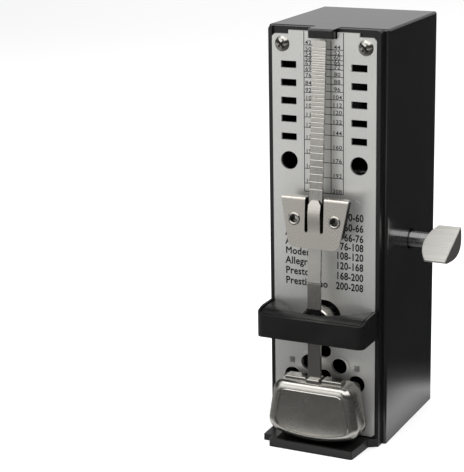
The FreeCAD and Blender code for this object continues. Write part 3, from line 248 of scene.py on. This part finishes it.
EYE_Z = (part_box("slider_rivets")[0][2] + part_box("slider_rivets")[1][2]) / 2
SCREW_X = (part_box("dial_screws")[1][0] - 0.0022)
SCREW_Z = (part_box("dial_screws")[0][2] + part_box("dial_screws")[1][2]) / 2
MATS = {
    "screw_steel": screw_steel(),
    "eyelet_nickel": eyelet(),
    "gloss_black": gloss_black(),
    "black_plastic": black_plastic(),
    "silver_plate": silver_plate(),
    "polished_nickel": metal("polished_nickel", 206, 218, (0.22, 0.30), (1, 0.985, 0.95)),
    "nickel": metal("nickel", 186, 191, (0.26, 0.29), (1.0, 0.975, 0.94), scale=4200.0, bump=0.006, blotch=0.06),
    "folded_nickel": metal("folded_nickel", 203, 208, (0.27, 0.30), (1.0, 0.975, 0.94), scale=4200.0, bump=0.004, blotch=0.05),
    "cast_nickel": metal("cast_nickel", 190, 197, (0.235, 0.265), (1.0, 0.985, 0.955), scale=700.0, bump=0.006, blotch=0.08),
    "lathe_steel": metal("lathe_steel", 200, 212, (0.25, 0.29), brushed=(3600, 200, 200), bump=0.03, turned=0.35),
    "dark_zinc": metal("dark_zinc", 96, 116, (0.38, 0.52), (1, 0.99, 0.97), scale=1500.0, bump=0.2),
    "rod_steel": metal("rod_steel", 190, 200, (0.17, 0.23), (1, 0.985, 0.955), brushed=(4200, 4200, 260)),
    "blackened_steel": metal("blackened_steel", 40, 58, (0.3, 0.5), scale=1800.0),
    "steel": metal("steel", 168, 190, (0.2, 0.34), brushed=(2000, 2000, 2000)),
    "key_steel": metal("key_steel", 234, 252, (0.34, 0.46), (1, 0.99, 0.965), brushed=(70, 1900, 1900), bump=0.16),
    "zinc_plate": metal("zinc_plate", 170, 196, (0.3, 0.45), (0.98, 1.0, 1.0), scale=420.0, blotch=0.3),
    "brass": metal("brass", 196, 214, (0.2, 0.34), (1.0, 0.84, 0.50), scale=1500.0),
    "blued_spring": metal("blued_spring", 84, 104, (0.22, 0.36), (0.86, 0.95, 1.12), brushed=(60, 1800, 1800)),
}
INK = ink()

# pieces whose finish differs a little from the rest of their slot
# front_bearing_plate takes blackened steel as painted shade: it sits in shade behind the holes, in place of its slot's
# bright zinc
FINISH = {"dial_screws": "screw_steel", "slider_housing": "folded_nickel", "slider_rivets": "eyelet_nickel", "slider_weight": "blackened_steel", "lower_weight": "cast_nickel", "key_shaft": "lathe_steel", "dial_rivets": "silver_plate", "front_bearing_plate": "blackened_steel"}
slots = {r["node"]: r["material_slot"] for r in frame["record"]["subparts"]}
for name, ob in N.items():
    ob.data.materials.clear()
    ob.data.materials.append(MATS[FINISH.get(name, slots[name])])


# ------------------------------------------------------------------ printing
DIAL_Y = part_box("dial_plate")[0][1]          # front of the raised rims
PLATE_Y = -0.023                             # front face of the sheet itself
PRINT = []


def add_mesh(name, verts, faces, mat, body):
    me = bpy.data.meshes.new(name)
    me.from_pydata([tuple(v) for v in verts], [], faces)
    me.update()
    ob = bpy.data.objects.new(name, me)
    bpy.context.scene.collection.objects.link(ob)
    me.materials.append(mat)
    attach(ob, body)
    return ob


def bars(name, rects):
    """Printed lines: thin raised slabs of ink on the dial face. rects = (x0, z0, x1, z1) in mm."""
    vs, fs = [], []
    y0, y1 = PLATE_Y - 0.00002, PLATE_Y + 0.00001
    for x0, z0, x1, z1 in rects:
        k = len(vs)
        for y in (y0, y1):
            vs += [(x0 * MM, y, z0 * MM), (x1 * MM, y, z0 * MM), (x1 * MM, y, z1 * MM), (x0 * MM, y, z1 * MM)]
        fs += [(k, k + 1, k + 2, k + 3), (k + 7, k + 6, k + 5, k + 4), (k, k + 4, k + 5, k + 1), (k + 1, k + 5, k + 6, k + 2),
               (k + 2, k + 6, k + 7, k + 3), (k + 3, k + 7, k + 4, k)]
    return add_mesh(name, vs, fs, INK, "case")


def word(txt, h, bold, align):
    """One printed word as a mesh in its own plane, from its left or right end."""
    cu = bpy.data.curves.new("t", "FONT")
    cu.body = txt
    cu.size = h / 0.705 * MM
    cu.align_x = align
    cu.extrude = 0.000015
    cu.offset = bold * MM
    cu.resolution_u = 4
    cu.space_character = 1.06
    ob = bpy.data.objects.new("t", cu)
    bpy.context.scene.collection.objects.link(ob)
    bpy.context.view_layer.update()
    me = bpy.data.meshes.new_from_object(ob)
    bpy.data.objects.remove(ob)
    bpy.data.curves.remove(cu)
    return me


def text_mesh(name, items):
    """Printed words and numbers. items = (text, x mm, z mm of the row's centre, cap height mm, width factor, align, stroke gain mm)."""
    bm = bmesh.new()

    def put(me, dx, x, z, h, wf):
        tr = Matrix.Translation((x * MM, PLATE_Y, (z - h / 2) * MM)) @ Matrix.Rotation(math.pi / 2, 4, "X") @ Matrix.Diagonal((wf, 1, 1, 1))
        me.transform(tr @ Matrix.Translation((dx, 0, 0)))
        bm.from_mesh(me)
        bpy.data.meshes.remove(me)

    for txt, x, z, h, wf, align, bold in items:
        if txt[0] != "M":
            put(word(txt, h, bold, align), 0.0, x, z, h, wf)
            continue
        # a gained outline closes up the M, so the letter is struck three times side by side instead
        ends = []
        for t in (txt, txt[1:]):
            me = word(t, h, 0.0, "LEFT")
            ends.append(max(v.co.x for v in me.vertices))
            bpy.data.meshes.remove(me)
        put(word(txt[1:], h, bold, "LEFT"), ends[0] - ends[1], x, z, h, wf)
        for k in (-1, 0, 1):
            put(word("M", h, 0.0, "LEFT"), k * bold * MM * 0.8, x, z, h, wf)
    me = bpy.data.meshes.new(name)
    bm.to_mesh(me)
    bm.free()
    ob = bpy.data.objects.new(name, me)
    bpy.context.scene.collection.objects.link(ob)
    me.materials.append(INK)
    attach(ob, "case")
    return ob


RIGHT = [(115.14, "44"), (113.60, "52"), (112.25, "60"), (110.99, "66"), (109.64, "72"), (107.62, "80"), (105.54, "88"), (103.47, "96"),
         (101.25, "104"), (99.03, "112"), (96.96, "120"), (94.29, "132"), (91.12, "144"), (87.08, "160"), (83.23, "176"), (78.94, "192"), (74.42, "208")]
LEFT = [(116.07, "42"), (114.35, "50"), (112.9, "54"), (111.6, "58"), (110.3, "63"), (108.7, "69"), (106.99, "76"), (104.8, "84"), (102.8, "92"), (100.6, "100"),
        (98.4, "108"), (95.85, "116"), (92.9, "126"), (89.4, "138"), (85.4, "152"), (81.1, "168"), (76.8, "184")]
lw = 0.22
rects = [(-5.9 - lw / 2, 74.4, -5.9 + lw / 2, 119.9), (5.9 - lw / 2, 74.4, 5.9 + lw / 2, 119.9), (-2.2 - lw / 2, 74.4, -2.2 + lw / 2, 117.6),
         (2.2 - lw / 2, 74.4, 2.2 + lw / 2, 117.6), (-5.9, 74.4 - lw / 2, 5.9, 74.4 + lw / 2)]
for z, _ in RIGHT[:-1]:
    rects.append((2.2, z - 0.095, 5.9, z + 0.095))
    rects.append((0.0, z - 0.095, 2.2, z + 0.095))
for z, _ in LEFT:
    rects.append((-5.9, z - 0.095, -2.2, z + 0.095))
    rects.append((-2.2, z - 0.095, 0.0, z + 0.095))
bars("scale_lines", rects)

nums = []
for z, s in RIGHT:
    nums.append((s, 4.05, z + 0.74, 1.16, 1.12, "CENTER", 0.018))
for z, s in LEFT:
    nums.append((s, -5.55, z + 0.74, 1.16, 1.12, "LEFT", 0.018))
text_mesh("scale_numbers", nums)

ROWS = [(68.08, "Largo", "40-60"), (65.06, "Larghetto", "60-66"), (62.04, "Adagio", "66-76"), (59.37, "Andante", "76-108"), (56.55, "Moderato", "108-120"),
        (53.62, "Allegro", "120-168"), (50.60, "Presto", "168-200"), (47.58, "Prestissimo", "200-208")]
words = []
for z, w, r in ROWS:
    words.append((w, -12.0, z, 2.1, 0.895, "LEFT", 0.082))
    words.append((r, 12.0, z, 2.1, 0.80, "RIGHT", 0.088))
text_mesh("tempo_table", words)


# --------------------------------------------------------------------- stage
def stage_plane(name, size, z, mat):
    me = bpy.data.meshes.new(name)
    s = size / 2
    me.from_pydata([(-s, -s, z), (s, -s, z), (s, s, z), (-s, s, z)], [], [(0, 1, 2, 3)])
    ob = bpy.data.objects.new(name, me)
    bpy.context.scene.collection.objects.link(ob)
    me.materials.append(mat)
    return ob


# The stage is a white table top under soft boxes. As in a product studio, the gloss black case has to mirror
# dark surroundings to look black, so what mirrors see of the table is white round the foot, dark further out,
# and white again towards the front left. To the camera the table is plain white everywhere.
NEAR = ((0.0, 0.45), (0.002, 0.60), (0.005, 0.92), (0.008, 0.98), (0.012, 0.72), (0.016, 0.34), (0.021, 0.12), (0.034, 0.03), (1.0, 0.03))
FAR = ((0.0, 0.0), (0.015, 0.05), (0.035, 0.14), (0.07, 0.10), (0.13, 0.06), (0.175, 0.11), (0.20, 0.27), (0.225, 0.55), (0.255, 0.79), (0.31, 0.80), (0.36, 0.70), (0.39, 0.46), (0.43, 0.26), (1.0, 0.16))
LEFT = ((0.0, 0.0), (0.025, 0.0), (0.04, 0.26), (0.08, 0.36), (1.0, 0.30))
SIDE = ((0.0, 0.0), (0.032, 0.0), (0.05, 0.05), (0.075, 0.08), (0.30, 0.08), (1.0, 0.08))


def floor_material():
    M = Mat("floor_white", Base_Color=(0.92, 0.92, 0.92, 1.0), Roughness=0.95, Specular_IOR_Level=0.0, Emission_Strength=1.0)
    geo = M.n("ShaderNodeNewGeometry")
    sep = M.n("ShaderNodeSeparateXYZ")
    M.link(geo.outputs["Position"], sep.inputs[0])
    x, y = sep.outputs[0], sep.outputs[1]
    dx = M.math("MAXIMUM", M.math("SUBTRACT", M.math("ABSOLUTE", x), 0.0175), 0.0)
    dy = M.math("ADD", M.math("MAXIMUM", M.math("SUBTRACT", y, 0.020), 0.0),
                M.math("MULTIPLY", M.math("MAXIMUM", M.math("SUBTRACT", M.math("MULTIPLY", y, -1.0), 0.035), 0.0), 1.5))
    d = M.math("SQRT", M.math("ADD", M.math("MULTIPLY", dx, dx), M.math("MULTIPLY", dy, dy)))
    # emission only takes 0..1 colours from a ramp, so the ramps hold half the radiance
    near = M.ramp(d, [(t, (v / 2,) * 3) for t, v in NEAR])
    fl = M.math("MULTIPLY", M.math("ADD", M.math("MULTIPLY", x, 0.443), M.math("MULTIPLY", M.math("ADD", y, 0.023), 0.897)), -1.0)
    far = M.ramp(fl, [(t, (v / 2,) * 3) for t, v in FAR])
    rf = M.math("SUBTRACT", M.math("MULTIPLY", x, 0.9), M.math("MULTIPLY", M.math("ADD", y, 0.023), 0.43))
    side = M.ramp(rf, [(t, (v / 2,) * 3) for t, v in SIDE])
    lf = M.math("ADD", M.math("MULTIPLY", x, -0.95), M.math("MULTIPLY", M.math("ADD", y, 0.023), 0.31))
    left = M.ramp(lf, [(t, (v / 2,) * 3) for t, v in LEFT])
    for lobe in (far, side, left):
        mx = M.n("ShaderNodeMix", data_type="RGBA", blend_type="LIGHTEN")
        mx.inputs["Factor"].default_value = 1.0
        M.link(near, mx.inputs[6])
        M.link(lobe, mx.inputs[7])
        near = mx.outputs[2]
    em = M.n("ShaderNodeEmission")
    em.inputs["Strength"].default_value = 2.0
    M.link(mx.outputs[2], em.inputs["Color"])
    M.b.inputs["Emission Color"].default_value = (FLOOR_E, FLOOR_E, FLOOR_E, 1.0)
    lp = M.n("ShaderNodeLightPath")
    ms = M.n("ShaderNodeMixShader")
    M.link(lp.outputs["Is Glossy Ray"], ms.inputs[0])
    M.link(M.b.outputs[0], ms.inputs[1])
    M.link(em.outputs[0], ms.inputs[2])
    out = [n for n in M.t.nodes if n.type == "OUTPUT_MATERIAL"][0]
    M.link(ms.outputs[0], out.inputs["Surface"])
    M.m.cycles.emission_sampling = "NONE"      # found by the reflected rays alone, which keeps it free of speckle
    return M.m


FLOOR_E = 0.29
floor = stage_plane("floor", 12.0, 0.0, floor_material())


def soft_box(name, loc, target, size, size_y, radiance, colour=(1, 1, 1)):
    """A rectangular soft box that gives this radiance; it stays out of every camera's view."""
    ld = bpy.data.lights.new(name, "AREA")
    ld.shape = "RECTANGLE"
    ld.size, ld.size_y = size, size_y
    ld.energy = radiance * math.pi * size * size_y
    ld.color = colour
    ob = bpy.data.objects.new(name, ld)
    bpy.context.scene.collection.objects.link(ob)
    d = Vector(target) - Vector(loc)
    ob.matrix_world = Matrix.Translation(loc) @ d.to_track_quat("-Z", "Y").to_matrix().to_4x4()
    ob.visible_camera = False
    return ob


world = bpy.data.worlds.new("studio")
bpy.context.scene.world = world
world.use_nodes = True
wt_ = world.node_tree
wb = wt_.nodes["Background"]
wb.inputs["Strength"].default_value = 1.0
wl = wt_.nodes.new("ShaderNodeLightPath")


def wmix(fac, a, b):
    r = wt_.nodes.new("ShaderNodeMix")
    r.data_type = "RGBA"
    wt_.links.new(fac, r.inputs["Factor"])
    for sock, v in ((r.inputs[6], a), (r.inputs[7], b)):
        if isinstance(v, float):
            sock.default_value = (v, v, v, 1.0)
        else:
            wt_.links.new(v, sock)
    return r.outputs[2]


w1 = wmix(wl.outputs["Is Glossy Ray"], 0.42, 0.05)
wt_.links.new(wmix(wl.outputs["Is Camera Ray"], w1, 1.0), wb.inputs["Color"])

soft_box("top_box", (0.12, -0.09, 0.60), (0.0, -0.01, 0.05), 0.92, 0.84, 1.9)
soft_box("left_box", (-0.36, -0.22, 0.56), (0.0, -0.03, 0.02), 0.50, 0.50, 0.72)
soft_box("front_high", (-0.36, -0.52, 0.46), (0.0, -0.03, 0.05), 0.50, 0.50, 0.72)
soft_box("back_box", (-0.08, 1.05, 0.40), (0.0, 0.0, 0.12), 1.8, 0.62, 0.50)
soft_box("front_box", (-0.42, -0.80, 0.30), (0.0, 0.0, 0.06), 0.7, 0.6, 0.85)

# -------------------------------------------------------------------- camera
cam_d = bpy.data.cameras.new("camera")
cam = bpy.data.objects.new("camera", cam_d)
bpy.context.scene.collection.objects.link(cam)
bpy.context.scene.camera = cam
yaw, pitch, roll = math.radians(26.3103), math.radians(15.5277), math.radians(-1.0549)
fwd = Vector((-math.sin(yaw) * math.cos(pitch), math.cos(yaw) * math.cos(pitch), -math.sin(pitch)))
r = Vector((math.cos(yaw), math.sin(yaw), 0))
u = r.cross(fwd)
r2 = math.cos(roll) * r + math.sin(roll) * u
u2 = -math.sin(roll) * r + math.cos(roll) * u
mw = Matrix((r2, u2, -fwd)).transposed().to_4x4()
mw.translation = Vector((0.16931, -0.42440, 0.18313))
cam.matrix_world = mw
cam_d.sensor_width = 36.0
cam_d.sensor_fit = "AUTO"
cam_d.lens = 121.18
cam_d.clip_start = 0.01
cam_d.clip_end = 30.0

sc = bpy.context.scene
sc.view_settings.view_transform = "Standard"
sc.view_settings.look = "None"
sc.view_settings.exposure = 0.0
sc.view_settings.gamma = 1.0
